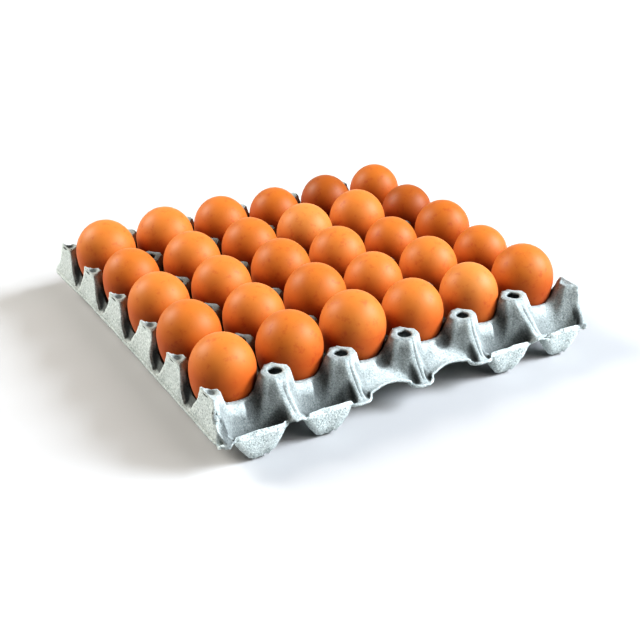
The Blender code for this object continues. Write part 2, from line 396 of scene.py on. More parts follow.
@dataclass(frozen=True)
class Dent:
    """A shallow oval hollow, or a groove, in the aprons beside the posts of some columns."""

    columns: tuple[int, ...]
    dx: float
    far_y: float
    radii: Pair
    depth: float

    def depth_at(self, dx: Array, far_y: Array, column: Array) -> Array:
        """How deep the hollow is at offsets from a post, distances out in Y and post columns."""
        hollow = self.depth * oval(dx - self.dx, far_y - self.far_y, self.radii)
        return np.where(np.isin(column, self.columns), hollow, 0.0)


@dataclass(frozen=True)
class PaintedShade:
    """Painted shade: how strongly each kind of recess is darkened, and the places between which it comes in
    or goes out.
    """

    # Painted shade from walls and eggs (radius and height) that rise around a place, in some directions at
    # two distances.
    directions: int = 8
    distances: Pair = (0.0045, 0.0120)
    steepest: float = 1.5
    full_hollow: float = 0.0042
    egg: Pair = (0.0165, 0.0500)
    recess: Pair = (0.18, 0.64)

    # Painted shade in the ribs' seams and on the posts' heads where eggs crowd round them;
    # the posts' heads where they end the tray are toned darker.
    seams: float = 0.16
    seams_inset: float = 0.01
    crowded_shade: Triple = (0.75, 0.0380, 0.0440)
    crowded_y: float = 0.1100
    crowded_inset: float = 0.0150
    tops: float = 0.30
    tops_below: Pair = (0.0012, 0.0002)
    tops_x: float = 0.1250

    # Painted shadow in the notches between the side walls' panels, and painted shade along the fold at
    # their foot.
    notch_shadow: float = 0.75
    notch_depth: Pair = (0.0010, 0.0036)
    notch_z: Pair = (0.0290, 0.0350)
    notch_x: float = 0.1390
    fold_shade: float = 0.3
    fold_place: Pair = (0.0001, 0.0003)

    # Where the sheet lies open to the light from +X and along the side walls, and the painted shade is
    # weaker.
    open_side: Triple = (0.7, 0.1050, 0.1300)
    open_wall: Triple = (0.8, 0.1430, 0.1446)

    # Painted shade on the lower side, darkest up inside the hollow posts.
    underside_z: Pair = (0.0300, 0.0420)


@dataclass
class PulpTray:
    """One sheet of moulded pulp: posts, saddles, cups, panelled side walls and aprons.

    The sheet's upper side is a relief over a grid whose lines crowd where
    the walls are steep. Its lower side follows at the pulp's thickness.
    Posts stand on the lattice points, post 0 and post 6 of each row being
    half posts in the side walls; cups and, in the two aprons, half cups lie
    between them. A blend is the height within which two slopes are rounded
    into each other, a fade the places between which a feature dies out.
    """

    columns: int = 6
    rows: int = 5
    pitch: float = 0.0485
    thickness: float = 0.0020

    # The posts and the saddles between them.
    post_top: float = 0.0465
    post_half: float = 0.0098
    post_diagonal: float = 0.0085
    post_corner: float = 0.0010
    post_top_blend: float = 0.0016
    post_foot_half: float = 0.0128
    post_foot: float = 0.0350
    post_foot_blend: float = 0.0025
    hole_radius: float = 0.0048
    saddle: float = 0.0332
    saddle_limit: float = 1.2

    # The cups.
    cup_floor: float = 0.0020
    cup_floor_radius: float = 0.0098
    cup_floor_blend: float = 0.0022
    cup_slope: float = 2.77
    cup_edge_blend: float = 0.0009

    # The rim.
    rim_x: float = 0.1468
    rim_y: float = 0.1435
    edge_x: float = 0.1483
    flange: float = 0.0028
    flange_cut: Triple = (0.85, 0.03, 0.22)
    side_rim: float = 0.0214
    side_bow: float = 0.0012
    side_droop: Pair = (0.0030, 0.0600)
    corner_radius: float = 0.0100
    far_corner_share: float = 0.4

    # The side walls' panels. A place or height is followed by the slope from there.
    panel_top_x: float = 0.1442
    panel_near: Pair = (0.0112, 9.0)
    panel_far: Pair = (0.0100, 5.6)
    panel_skirt: Triple = (0.0114, 0.0386, 1.5)
    panel_blend: float = 0.0010
    panel_edge_blend: float = 0.0007
    corner_lobe: Triple = (0.0128, 0.0380, 0.9)
    chamfer: tuple[float, ...] = (0.777, 0.629, 0.2002, 9.5)
    chamfer_blend: float = 0.0008
    sill: Pair = (0.1402, 2.60)
    sill_blend: float = 0.0006

    # The aprons: ribs that end in feet, lips of the pockets, and arches between.
    apron_start: float = 0.1245
    rib_start: float = 0.1340
    feet: tuple[float, ...] = (0.0214, 0.0258, 0.0216, 0.0191)
    foot_half: float = 0.0026
    crest_curve: float = 1.6
    crest_limit: float = 3.0
    crest_blend: float = 0.0015
    rib_half: float = 0.0038
    rib_spread: float = 0.0170
    lip: float = 0.0217
    lip_inset: float = 0.0020
    lip_length: float = 0.25
    arch: float = 0.0256
    arch_inset: float = 0.0072
    arch_slope: float = 0.60
    arch_blend: float = 0.0030
    arch_length: float = 0.90
    nose_length: float = 0.26
    nose_insets: Pair = (0.68, 0.32)
    nose_rises: Pair = (0.28, 0.72)

    # The half cups in the aprons, called pockets where a lip closes them.
    pocket_columns: tuple[int, ...] = (0, 1, 4, 5)
    pocket_floor: float = 0.0028
    pocket_floor_inset: float = 0.0080
    pocket_floor_blend: float = 0.0050
    pocket_squash: float = 0.85
    pocket_blend: float = 0.0016
    pocket_above_lip: float = 0.004
    pocket_shoulder: Pair = (0.0360, 4.4)
    flap_half: float = 0.0050
    flap_slope: float = 1.75
    flap_ease: Pair = (0.8, 0.2)
    flap_drop: float = 0.03
    flap_fade: Pair = (0.0200, 0.0110)
    flap_blend: float = 0.0010

    # Hollows, which also deepen the painted shade: dents, the ribs' seams (place, half width and share
    # of the depth), a crease in the near corner, a dimple in each panel and a pit in each half post.
    dents: tuple[Dent, ...] = (
        Dent((1, 2, 3, 4, 5, 6), -0.0182, 0.1246, (0.0054, 0.0036), 0.0030),
        Dent((2, 3, 4), -0.0052, 0.1394, (0.0026, 0.0042), 0.0028),
        Dent((2, 3, 4), 0.0052, 0.1404, (0.0020, 0.0034), 0.0018),
        Dent((1, 2, 5, 6), -0.0125, 0.1372, (0.0085, 0.0040), 0.0020),
    )
    seams: tuple[Triple, ...] = ((0.0006, 0.00042, 1.0), (0.0023, 0.00045, 0.3))
    seam_start: Pair = (0.1305, 0.1312)
    seam_end: Pair = (0.1405, 0.1425)
    seam_depth: float = 0.0007
    crease_y: float = 0.1339
    crease_bend_z: float = 0.0319
    crease_slants: Pair = (0.55, 0.2)
    crease_half: float = 0.0009
    crease_x: float = 0.1405
    crease_fade: Pair = (0.0420, 0.0360)
    crease_depth: float = 0.0014
    dimple_bounds: Pair = (0.1395, 0.1300)
    dimple_middle: Pair = (0.0165, 0.0265)
    dimple_radii: Pair = (0.0050, 0.0042)
    dimple_depth: float = 0.0010
    pit_middle: Pair = (0.1402, 0.0020)
    pit_squash: float = 0.7
    pit_radius: float = 0.0032
    pit_fade: Pair = (0.0400, 0.0450)
    pit_depths: Pair = (0.0026, 0.0014)

    # How the drying sheet warps: the front rim sways, and the posts lean at random, or as stated
    # for a column, a row and a shift of the post's top.
    sway: Triple = (0.0028, 0.1280, 0.1420)
    sway_x: Pair = (0.1250, 0.1450)
    lean_spread: Triple = (0.0007, 0.0007, 0.0004)
    lean_size: float = 0.9
    lean_z: float = 0.0300
    lean_fade: Pair = (0.0125, 0.0180)
    leans: tuple[tuple[int, int, Triple], ...] = (
        (1, 0, (0.0, 0.0, 0.0020)), (5, 0, (-0.0025, 0.0020, 0.0016)),
        (6, 0, (0.0014, 0.0, 0.0)), (0, 2, (0.0024, 0.0, 0.0)))

    # The pulp's grain, which also carries painted light on the side walls' panels, and its ragged edges.
    # Lumps are given as height and size.
    grain_and_light: float = 0.35
    # The side walls' panels are coarser, the left wall's more than the right's, so that the pulp's tone
    # paints the left wall lighter: painted light.
    panel_grain_and_light: Pair = (0.4, 0.1)
    panel_margin: float = 0.001
    lumps: tuple[Pair, ...] = ((0.00018, 0.0055), (0.00012, 0.0024))
    back_lumps: Pair = (0.00017, 0.0024)
    tear_size: float = 0.0028
    tear_width: float = 0.0012
    hole_tear: float = 0.00060
    edge_tear: float = 0.00016
    edge_inset: float = 0.0004
    seed: int = 4

    # Where the grid's lines crowd, and the number of parts up to each of them.
    seam_line: float = 0.0018
    skirt_line: float = 0.0131
    cup_lines: Pair = (0.0110, 0.0152)
    wall_lines: Pair = (0.1430, 0.1469)
    apron_line: float = 0.1368
    post_parts_x: tuple[int, ...] = (3, 3, 4, 4, 6)
    post_parts_y: tuple[int, ...] = (2, 2, 3, 3)
    edge_parts_x: tuple[int, ...] = (6, 5, 5, 13, 2)
    edge_parts_y: tuple[int, ...] = (3, 3, 5, 3, 13, 3)
    gather_end: float = 0.014
    gather_fade: Pair = (0.006, 0.0005)
    fit_start: float = 0.1310

    # How the painted shade darkens the recesses.
    painted_shade: PaintedShade = PaintedShade()

    def line_places(self, cells: int, around: Sequence[float], parts: Sequence[int], edge: Array) -> Array:
        """Where the grid's lines run across one direction.

        Args:
            cells: the number of cells along it.
            around: the offsets from a post at which the spacing of the lines changes.
            parts: the number of parts up to each of them and on to the cell's middle.
            edge: the lines of the edge on the + side.

        Returns:
            The places in rising order, each once.
        """
        side = spaced(0.0, (*around, self.pitch / 2), parts)
        posts = (np.arange(cells + 1) - cells / 2) * self.pitch
        inner = [post + mirrored(side) for post in posts[1:-1]]
        places = np.sort(np.concatenate([*inner, edge, -edge]))
        return places[np.concatenate([[True], np.diff(places) > SAME_LINE])]

    def nearest(self, place: Array, cells: int) -> tuple[Array, Array]:
        """The offset from the nearest post along a direction of some cells, and the post's number."""
        number = np.clip(np.round(place / self.pitch + cells / 2), 0, cells)
        return place - (number - cells / 2) * self.pitch, number

    def nearest_post(self, x: Array, y: Array) -> tuple[Array, Array, Array]:
        """The offsets from the nearest post along X and along Y, and its column number."""
        dx, column = self.nearest(x, self.columns)
        return dx, self.nearest(y, self.rows)[0], column

    def gathered(self, x: Array, y: Array) -> tuple[Array, Array]:
        """Draw square rings of grid points into circles at the holes and octagons round the posts.

        Args:
            x, y: the grid points' places.

        Returns:
            The moved X and Y.
        """
        dx, dy, _ = self.nearest_post(x, y)
        reach = np.maximum(np.maximum(np.abs(dx), np.abs(dy)), TINY)
        circle = np.maximum(np.hypot(dx, dy), TINY)
        near = 1 - eased(reach, self.post_half, self.gather_end)
        narrowness = 1 + (self.post_half / self.post_diagonal - 1) * near
        octagon = np.maximum(reach, (np.abs(dx) + np.abs(dy)) / math.sqrt(2) * narrowness)
        roundness = eased(reach, self.hole_radius, self.post_half)
        shape = circle * (1 - roundness) + octagon * roundness
        weight = 1 - eased(reach, self.post_foot_half, self.pitch / 2)
        first, last = (self.panel_top_x - inset for inset in self.gather_fade)
        weight = weight * (1 - eased(np.abs(x), first, last))
        factor = 1 + (reach / shape - 1) * weight
        return x - dx + dx * factor, y - dy + dy * factor

    def rim_line(self, x: Array) -> tuple[Array, Array, Array]:
        """The end aprons' rim over X.

        Args:
            x: places along X.

        Returns:
            How far out in Y the rim runs there, its height, and the width of the flange outside it.
        """
        dx, number = self.nearest(x, self.columns)
        post = number.astype(int)
        foot = np.array(self.feet)[np.minimum(post, self.columns - post)]
        column = np.clip(np.floor(x / self.pitch + self.columns / 2), 0, self.columns - 1)
        pocket = np.isin(column, self.pocket_columns)
        along = np.clip((np.abs(dx) - self.foot_half) / (self.pitch / 2 - self.foot_half), 0.0, 1.0)
        lip = eased(along, 0.0, self.lip_length)
        nose = eased(along, 0.0, self.nose_length)
        inward = self.nose_insets[0] * nose + self.nose_insets[1] * eased(along, 0.0, 1.0)
        upward = self.nose_rises[0] * nose + self.nose_rises[1] * eased(along, 0.0, self.arch_length)
        inset = np.where(pocket, self.lip_inset * lip, self.arch_inset * inward)
        height = foot + np.where(pocket, (self.lip - foot) * lip, (self.arch - foot) * upward)
        flange = np.where(pocket, self.flange * (1 - faded(along, self.flange_cut)), self.flange)
        return self.rim_y - inset, height, flange

    def relief(self, x: Array, y: Array) -> Array:
        """Height of the sheet's upper side.

        Args:
            x, y: places on the sheet.

        Returns:
            The heights.
        """
        far_y = np.abs(y)
        dx, dy, _ = self.nearest_post(x, y)
        reach = smooth_max(np.abs(dx), np.abs(dy), self.post_corner)
        steep = (self.post_top - self.post_foot) / (self.post_foot_half - self.post_half)
        post = self.post_top - (reach - self.post_half) * steep
        to_middle = (self.pitch / 2 - reach) / (self.pitch / 2 - self.post_foot_half)
        to_middle = np.clip(to_middle, 0.0, self.saddle_limit)
        saddle = self.saddle + (self.post_foot - self.saddle) * to_middle ** 2
        land = smooth_max(post, saddle, self.post_foot_blend)
        land = smooth_min(land, np.full_like(x, self.post_top), self.post_top_blend)

        rim_y, rim_z, _ = self.rim_line(x)
        rib = 1 - eased(np.abs(dx), self.rib_half, self.rib_spread)
        start_y = self.apron_start + (self.rib_start - self.apron_start) * rib
        start_z = self.saddle + (self.post_foot - self.saddle) * rib
        fall = np.clip((rim_y - far_y) / (rim_y - start_y), 0.0, self.crest_limit)
        crest = rim_z + (start_z - rim_z) * fall ** self.crest_curve
        land = smooth_min(land, crest, self.crest_blend)

        height = smooth_min(land, self.bowl(x, y, rim_y, rim_z), self.cup_edge_blend)
        height = np.where(far_y > rim_y, rim_z, height)
        return smooth_min(height, self.side_wall(x, y, dy), self.panel_edge_blend)

    def hollows(self, points: Array) -> Array:
        """How far the sheet is pressed in, square to itself.

        Args:
            points: places on the upper side.

        Returns:
            The depths.
        """
        x, y, z = points.T
        far_x, far_y = np.abs(x), np.abs(y)
        dx, dy, column = self.nearest_post(x, y)
        full = (column > 0) & (column < self.columns)
        depth = sum(dent.depth_at(dx, far_y, column) for dent in self.dents)
        depth += self.seam_depth * self.groove(dx, far_y) * full

        drop = self.crease_bend_z - z
        bent = np.maximum(drop, 0.0) * self.crease_slants[0] + np.minimum(drop, 0.0) * self.crease_slants[1]
        crease = bell(y + self.crease_y + bent, 0.0, self.crease_half) * (x < -self.crease_x)
        depth += self.crease_depth * (crease * eased(-z, -self.crease_fade[0], -self.crease_fade[1]))

        on_panel = (dy < 0) & (far_x > self.dimple_bounds[0]) & (far_y < self.dimple_bounds[1])
        dimple = oval(np.abs(dy) - self.dimple_middle[0], z - self.dimple_middle[1], self.dimple_radii)
        depth += self.dimple_depth * on_panel * dimple

        away = np.hypot(far_x - self.pit_middle[0], (dy - self.pit_middle[1]) * self.pit_squash)
        pit = np.where(x < 0, *self.pit_depths) * bell(away, 0.0, self.pit_radius)
        return depth + np.where(full, 0.0, pit * eased(z, *self.pit_fade))

    def groove(self, dx: Array, far_y: Array) -> Array:
        """The fine seams down the ribs, from 0 beside them to 1 along the deeper one."""
        along = eased(far_y, *self.seam_start) * (1 - eased(far_y, *self.seam_end))
        return along * sum(share * bell(dx, place, half) for place, half, share in self.seams)

    def leaned(self, points: Array) -> Array:
        """Shift every post's top a little, as the drying sheet warps, and sway the front rim.

        Args:
            points: places on the sheet.

        Returns:
            The shifted places.
        """
        x, y, z = points.T
        dx, dy, column = self.nearest_post(x, y)
        row = self.nearest(y, self.rows)[1]
        post = np.stack([column, row, np.zeros_like(column)], axis=1)
        noises = [soft_noise(post + 0.5, self.lean_size, self.seed + k) for k in (5, 6, 7)]
        shift = np.stack(noises, axis=1) * self.lean_spread
        for lean_column, lean_row, stated in self.leans:
            shift[(column == lean_column) & (row == lean_row)] = stated
        reach = np.maximum(np.abs(dx), np.abs(dy))
        weight = eased(z, self.lean_z, self.post_top) * (1 - eased(reach, *self.lean_fade))
        moved = points + shift * weight[:, None]
        moved[:, 0] += faded(-y, self.sway) * (1 - eased(np.abs(x), *self.sway_x))
        return moved

    def skyline(self, x: Array, y: Array) -> Array:
        """Height of the sheet, or of the egg where one stands on it: what casts the painted shade.

        Args:
            x, y: places on the sheet.

        Returns:
            The heights.
        """
        cell_x = np.abs((x / self.pitch + self.columns / 2) % 1 - 0.5) * self.pitch
        cell_y = np.abs((y / self.pitch + self.rows / 2) % 1 - 0.5) * self.pitch
        radius, height = self.painted_shade.egg
        egg = (np.hypot(cell_x, cell_y) < radius) & (np.abs(y) < self.rows / 2 * self.pitch)
        return np.where(egg, height, self.relief(x, y))

    def shade(self, points: Array) -> Array:
        """Painted shade: how hemmed in the sheet is, from 0 in the open to 1 deep in a recess.

        Args:
            points: places on the upper side, before they are leaned.

        Returns:
            One number for each point.
        """
        tone = self.painted_shade
        x, y, z = points.T
        far_x, far_y = np.abs(x), np.abs(y)
        # Painted shade from the walls and eggs that rise round each place, and from the hollows.
        rise = []
        for turn in np.linspace(0, 2 * math.pi, tone.directions, endpoint=False):
            slopes = [(self.skyline(x + away * math.cos(turn), y + away * math.sin(turn)) - z) / away
                      for away in tone.distances]
            rise.append(np.max(np.clip(slopes, 0.0, tone.steepest), axis=0))
        walls = np.mean(rise, axis=0) / tone.steepest
        recess = eased(walls + self.hollows(points) / tone.full_hollow, *tone.recess)
        open_air = (1 - faded(x, tone.open_side)) * (1 - faded(far_x, tone.open_wall))

        # Painted shade in the seams, round the crowded posts' heads, in the notches and along the fold; the
        # outer posts' heads are toned darker.
        seams = tone.seams * self.groove(self.nearest_post(x, y)[0], far_y)
        seams = seams * (far_x < self.panel_top_x - tone.seams_inset)
        crowded_shade = faded(z, tone.crowded_shade) * (far_y < tone.crowded_y)
        crowded_shade = crowded_shade * (far_x < self.panel_top_x - tone.crowded_inset)
        outer = (far_y > tone.crowded_y) | (far_x > tone.tops_x)
        tops = tone.tops * eased(z, *(self.post_top - below for below in tone.tops_below)) * outer

        lean = (z - self.side_rim) / (self.post_top - self.side_rim) * (self.rim_x - self.panel_top_x)
        notch_shadow = eased(self.rim_x - lean - far_x, *tone.notch_depth)
        notch_shadow = notch_shadow * (1 - eased(z, *tone.notch_z)) * (far_x > tone.notch_x)
        fold_shade = bell(far_x - self.rim_x, *tone.fold_place)
        return seams + crowded_shade + tops + tone.notch_shadow * notch_shadow + tone.fold_shade * fold_shade + recess * open_air

    def side_wall(self, x: Array, y: Array, dy: Array) -> Array:
        """Height of the panelled side walls, wherever the rest of the sheet is higher.

        Args:
            x, y: places on the sheet.
            dy: offsets from the nearest post along Y.

        Returns:
            The heights.
        """
        far_x = np.abs(x)
        rim = self.side_rim + self.side_bow * (1 - (y / self.rim_y) ** 2)
        rim -= self.side_droop[0] * eased(y, self.side_droop[1], self.rim_y) * (x < 0)
        panel = self.post_top - (far_x - self.panel_top_x) * (self.post_top - rim) / (
            self.rim_x - self.panel_top_x)
        near = self.post_top + (dy + self.panel_near[0]) * self.panel_near[1]
        far = self.post_top - (dy - self.panel_far[0]) * self.panel_far[1]
        skirt_y, skirt_z, skirt_slope = self.panel_skirt
        lobe_y, lobe_z, lobe_slope = self.corner_lobe
        lobe = np.where(y < -self.rows / 2 * self.pitch, lobe_z + (dy + lobe_y) * lobe_slope, 0.0)
        flank = np.minimum(np.maximum(near, lobe), np.maximum(far, skirt_z - (dy - skirt_y) * skirt_slope))
        cut_x, cut_y, reach, steep = self.chamfer
        panel = smooth_min(panel, rim + (reach - cut_x * far_x + cut_y * y) * steep, self.chamfer_blend)
        recess = np.minimum(panel, self.saddle - (far_x - self.sill[0]) * self.sill[1])
        wall = smooth_max(recess, smooth_min(panel, flank, self.panel_blend), self.sill_blend)
        return np.maximum(wall, rim)

    def bowl(self, x: Array, y: Array, rim_y: Array, rim_z: Array) -> Array:
        """Height of the nearest cup's, pocket's or arch's wall.

        Args:
            x, y: places on the sheet.
            rim_y: how far out the apron's rim runs.
            rim_z: the apron's rim height.

        Returns:
            The heights.
        """
        far_y = np.abs(y)
        column = np.clip(np.floor(x / self.pitch + self.columns / 2), 0, self.columns - 1)
        row = np.clip(np.floor(y / self.pitch + self.rows / 2), -1, self.rows)
        dx = x - (column + 0.5 - self.columns / 2) * self.pitch
        dy = y - (row + 0.5 - self.rows / 2) * self.pitch
        apron = (row < 0) | (row >= self.rows)
        pocket = np.isin(column, self.pocket_columns)
        radius = np.hypot(dx * np.where(apron, self.pocket_squash, 1.0), dy)
        floor = np.where(apron, self.pocket_floor, self.cup_floor)
        cone = floor + (radius - self.cup_floor_radius) * self.cup_slope
        shoulder_z, steep = self.pocket_shoulder
        shoulder_radius = self.cup_floor_radius + (shoulder_z - self.cup_floor) / self.cup_slope
        shoulder = shoulder_z + (radius - shoulder_radius) * steep
        cone = np.where(apron, np.maximum(cone, shoulder), cone)

        axis_y = (self.rows + 1) / 2 * self.pitch
        flap = self.pocket_floor + (np.abs(dx) - self.flap_half) * self.flap_slope
        flap = np.minimum(flap, self.flap_ease[0] * self.lip + self.flap_ease[1] * flap)
        flap -= self.flap_drop * (1 - eased(far_y, *(axis_y - inset for inset in self.flap_fade)))
        cone = np.where(apron & pocket, smooth_max(cone, flap, self.flap_blend), cone)
        wall = smooth_max(cone, floor, np.where(apron, self.pocket_floor_blend, self.cup_floor_blend))

        wall_foot = axis_y - self.pocket_floor_inset
        outer = self.pocket_floor + (far_y - wall_foot) * (self.lip - self.pocket_floor) / (
            self.rim_y - self.lip_inset - wall_foot)
        outer = np.minimum(outer, self.lip + self.pocket_above_lip)
        pocket_wall = smooth_max(wall, outer, self.pocket_blend)
        arch_wall = smooth_max(wall, rim_z + (rim_y - far_y) * self.arch_slope, self.arch_blend)
        return np.where(apron, np.where(pocket, pocket_wall, arch_wall), wall)

    def fitted(self, x: Array, y: Array) -> tuple[Array, Array]:
        """Draw the outer grid lines to the wavy rim and round the corners.

        Args:
            x, y: the grid points' places.

        Returns:
            The moved X and Y.
        """
        rim_y, _, flange = self.rim_line(x)
        start = self.fit_start
        far = np.abs(y)
        inner = start + (far - start) * (rim_y - start) / (self.rim_y - start)
        outer = rim_y + (far - self.rim_y) * flange / self.flange
        moved = np.where(far <= start, far, np.where(far <= self.rim_y, inner, outer)) * np.sign(y)
        radius = np.where((x < 0) & (y > 0), self.far_corner_share, 1.0) * self.corner_radius
        edge_y = self.rim_y + self.flange
        a = np.clip((np.abs(x) - (self.edge_x - radius)) / radius, 0.0, 1.0)
        b = np.clip((np.abs(moved) - (edge_y - radius)) / radius, 0.0, 1.0)
        scale = np.where((a > 0) & (b > 0), np.maximum(a, b) / np.maximum(np.hypot(a, b), TINY), 1.0)
        fx = np.where(a > 0, np.sign(x) * (self.edge_x - radius + a * radius * scale), x)
        fy = np.where(b > 0, np.sign(moved) * (edge_y - radius + b * radius * scale), moved)
        return fx, fy

    def build(self, material: bpy.types.Material) -> bpy.types.Object:
        """Build the tray.

        Args:
            material: the pulp.

        Returns:
            The finished piece.
        """
        around = (self.hole_radius, self.post_half, self.skirt_line)
        half_x, half_y = self.columns / 2 * self.pitch, self.rows / 2 * self.pitch
        last = half_x - self.pitch / 2
        stops = (*(last + line for line in self.cup_lines), *self.wall_lines, self.edge_x)
        edge_x = spaced(last, stops, self.edge_parts_x)
        stops = (*(half_y + line for line in around), self.apron_line, self.rim_y, self.rim_y + self.flange)
        edge_y = np.concatenate([half_y - spaced(0.0, (*around, self.pitch / 2), self.post_parts_y),
                                 spaced(half_y, stops, self.edge_parts_y)])
        lines_x = self.line_places(self.columns, (self.seam_line, *around), self.post_parts_x, edge_x)
        lines_y = self.line_places(self.rows, around, self.post_parts_y, edge_y)
        count_x, count_y = len(lines_x), len(lines_y)
        mesh = bmesh.new()
        bmesh.ops.create_grid(mesh, x_segments=count_x - 1, y_segments=count_y - 1, size=1.0)
        unit = np.array([v.co[:2] for v in mesh.verts])
        column = np.rint((unit[:, 0] + 1) / 2 * (count_x - 1)).astype(int)
        row = np.rint((unit[:, 1] + 1) / 2 * (count_y - 1)).astype(int)
        grid = np.empty((count_x, count_y), dtype=int)
        grid[column, row] = np.arange(len(unit))
        flat_x, flat_y = lines_x[column], lines_y[row]
        hole = self.hole_faces(mesh, flat_x, flat_y)

        x, y = self.fitted(*self.gathered(flat_x, flat_y))
        top = np.stack([x, y, self.relief(x, y)], axis=1)
        normal = self.smooth_normals(top, grid, 1)
        # Painted shade, taken from the relief before it is dented and leaned.
        shade = self.shade(top)
        top -= normal * self.hollows(top)[:, None]
        lumps = (high * soft_noise(top, size, self.seed + k) for k, (high, size) in enumerate(self.lumps))
        top += normal * sum(lumps)[:, None]
        top = self.leaned(self.torn(top, flat_x, flat_y))
        normal = self.smooth_normals(top, grid, 3)
        below = top - normal * self.thickness
        high, size = self.back_lumps
        below += normal * (high * soft_noise(below, size, self.seed + 2))[:, None]
        below[:, 2] = np.maximum(below[:, 2], 0.0)
        # Painted light: the left wall's panels get more grain than the right's, which the pulp's tone turns
        # lighter.
        margin = (self.panel_top_x - self.panel_margin, self.panel_top_x + self.panel_margin)
        grain_and_light = self.grain_and_light + np.where(x < 0, *self.panel_grain_and_light) * eased(np.abs(x), *margin)

        # Each vertex keeps its number, its grain, which also carries painted light, and its painted shade.
        order_layer = mesh.verts.layers.int.new("order")
        grain_and_light_layer = mesh.verts.layers.float.new("grain_and_light")
        painted_shade_layer = mesh.verts.layers.float.new("depth")
        for vert, place, grain_light, hemmed in zip(mesh.verts, top, grain_and_light, shade):
            vert.co = place
            vert[order_layer] = vert.index
            vert[grain_and_light_layer] = grain_light
            vert[painted_shade_layer] = hemmed
        bmesh.ops.delete(mesh, geom=hole, context="FACES")
        drawn = bmesh.ops.extrude_face_region(mesh, geom=mesh.faces[:], use_keep_orig=True)["geom"]
        for vert in (g for g in drawn if isinstance(g, bmesh.types.BMVert)):
            vert.co = below[vert[order_layer]]
            vert[grain_and_light_layer] = 1.0
            # Painted shade on the lower side, darkest up inside the hollow posts.
            vert[painted_shade_layer] = eased(vert.co.z, *self.painted_shade.underside_z)
        bmesh.ops.recalc_face_normals(mesh, faces=mesh.faces)
        return finish_piece("pulp_tray", mesh, TRAY_NODE, material)

    def hole_faces(self, mesh: bmesh.types.BMesh, x: Array, y: Array) -> list[bmesh.types.BMFace]:
        """The faces inside the holes through the full posts.

        Args:
            mesh: the grid, still flat.
            x, y: the grid lines that cross at each vertex.

        Returns:
            The faces to delete.
        """
        dx, dy, column = self.nearest_post(x, y)
        near = np.maximum(np.abs(dx), np.abs(dy)) < self.hole_radius + SAME_LINE
        inside = near & (column > 0) & (column < self.columns)
        return [f for f in mesh.faces if all(inside[v.index] for v in f.verts)]

    def torn(self, points: Array, x: Array, y: Array) -> Array:
        """Make the outer edge and the holes' edges a little ragged.

        Args:
            points: places on the upper side.
            x, y: the grid lines that cross at each of them.

        Returns:
            The shifted places.
        """
        dx, dy, column = self.nearest_post(x, y)
        around = np.maximum(np.abs(dx), np.abs(dy))
        hole = bell(around, self.hole_radius, self.tear_width) * ((column > 0) & (column < self.columns))
        outside = np.maximum(np.abs(x) / x.max(), np.abs(y) / y.max()) > 1 - TINY
        ragged = soft_noise(points, self.tear_size, self.seed + 3) * (
            self.hole_tear * hole + self.edge_tear * outside)
        centre = np.where(outside[:, None], 0.0, np.stack([x - dx, y - dy, points[:, 2]], axis=1))
        inward = centre - points
        inward[:, 2] = 0.0
        inward /= np.maximum(np.linalg.norm(inward, axis=1, keepdims=True), TINY)
        return points + inward * (ragged + self.edge_inset * outside)[:, None]

    def smooth_normals(self, top: Array, grid: Array, rounds: int) -> Array:
        """Normals of the upper side, evened out so that the lower side does not fold.

        Args:
            top: the points of the upper side.
            grid: the points' numbers by line across X and line across Y.
            rounds: how often they are evened out.

        Returns:
            One normal for each point.
        """
        surface = top[grid]
        normal = np.cross(np.gradient(surface, axis=0), np.gradient(surface, axis=1))
        normal /= np.linalg.norm(normal, axis=2, keepdims=True)
        for _ in range(rounds):
            padded = np.pad(normal, ((1, 1), (1, 1), (0, 0)), mode="edge")
            normal = 4 * normal + padded[2:, 1:-1] + padded[:-2, 1:-1]
            normal = (normal + padded[1:-1, 2:] + padded[1:-1, :-2]) / 8
            normal /= np.linalg.norm(normal, axis=2, keepdims=True)
        result = np.empty_like(top)
        result[grid] = normal
        return result


# --- the eggs ---


@dataclass
class Egg:
    """One egg, measured on its CAD node: its two ends, its widest section and its lean."""

    node: str
    tone: EggTone
    segments: int = 48
    rings: int = 36
    waist_share: float = 0.995  # points this near to the widest radius lie on the widest section

    def measure(self) -> tuple[Vector, Vector, float, float]:
        """Read the egg's shape from its node's mesh.

        Returns:
            The blunt end, the pointed end, the share of the length above the widest section, its radius.
        """
        points = [v.co.copy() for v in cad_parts[self.node].data.vertices]
        top = max(points, key=lambda p: p.z)
        bottom = min(points, key=lambda p: p.z)
        axis = (top - bottom).normalized()
        radii = [((p - bottom) - axis * (p - bottom).dot(axis)).length for p in points]
        widest = max(radii)
        heights = [(p - bottom).dot(axis) for p, r in zip(points, radii) if r > widest * self.waist_share]
        return top, bottom, 1 - sum(heights) / len(heights) / (top - bottom).length, widest

    def build(self, material: bpy.types.Material) -> bpy.types.Object:
        """Build the egg as a sphere drawn to an egg's outline and leaned as its node leans.

        Args:
            material: the shell.

        Returns:
            The finished piece.
        """
        top, bottom, blunt_share, radius = self.measure()
        length = (top - bottom).length
        mesh = bmesh.new()
        bmesh.ops.create_uvsphere(mesh, u_segments=self.segments, v_segments=self.rings, radius=1.0)
        for vert in mesh.verts:
            end = blunt_share if vert.co.z > 0 else 1 - blunt_share
            vert.co = Vector((vert.co.x * radius, vert.co.y * radius, vert.co.z * end * length))
        lean = Vector((0.0, 0.0, 1.0)).rotation_difference(top - bottom).to_matrix().to_4x4()
        centre = top + (bottom - top) * blunt_share
        bmesh.ops.transform(mesh, matrix=Matrix.Translation(centre) @ lean, verts=mesh.verts)
        return finish_piece(self.node.replace("egg", "brown_egg"), mesh, self.node, material)


# --- the stage ---


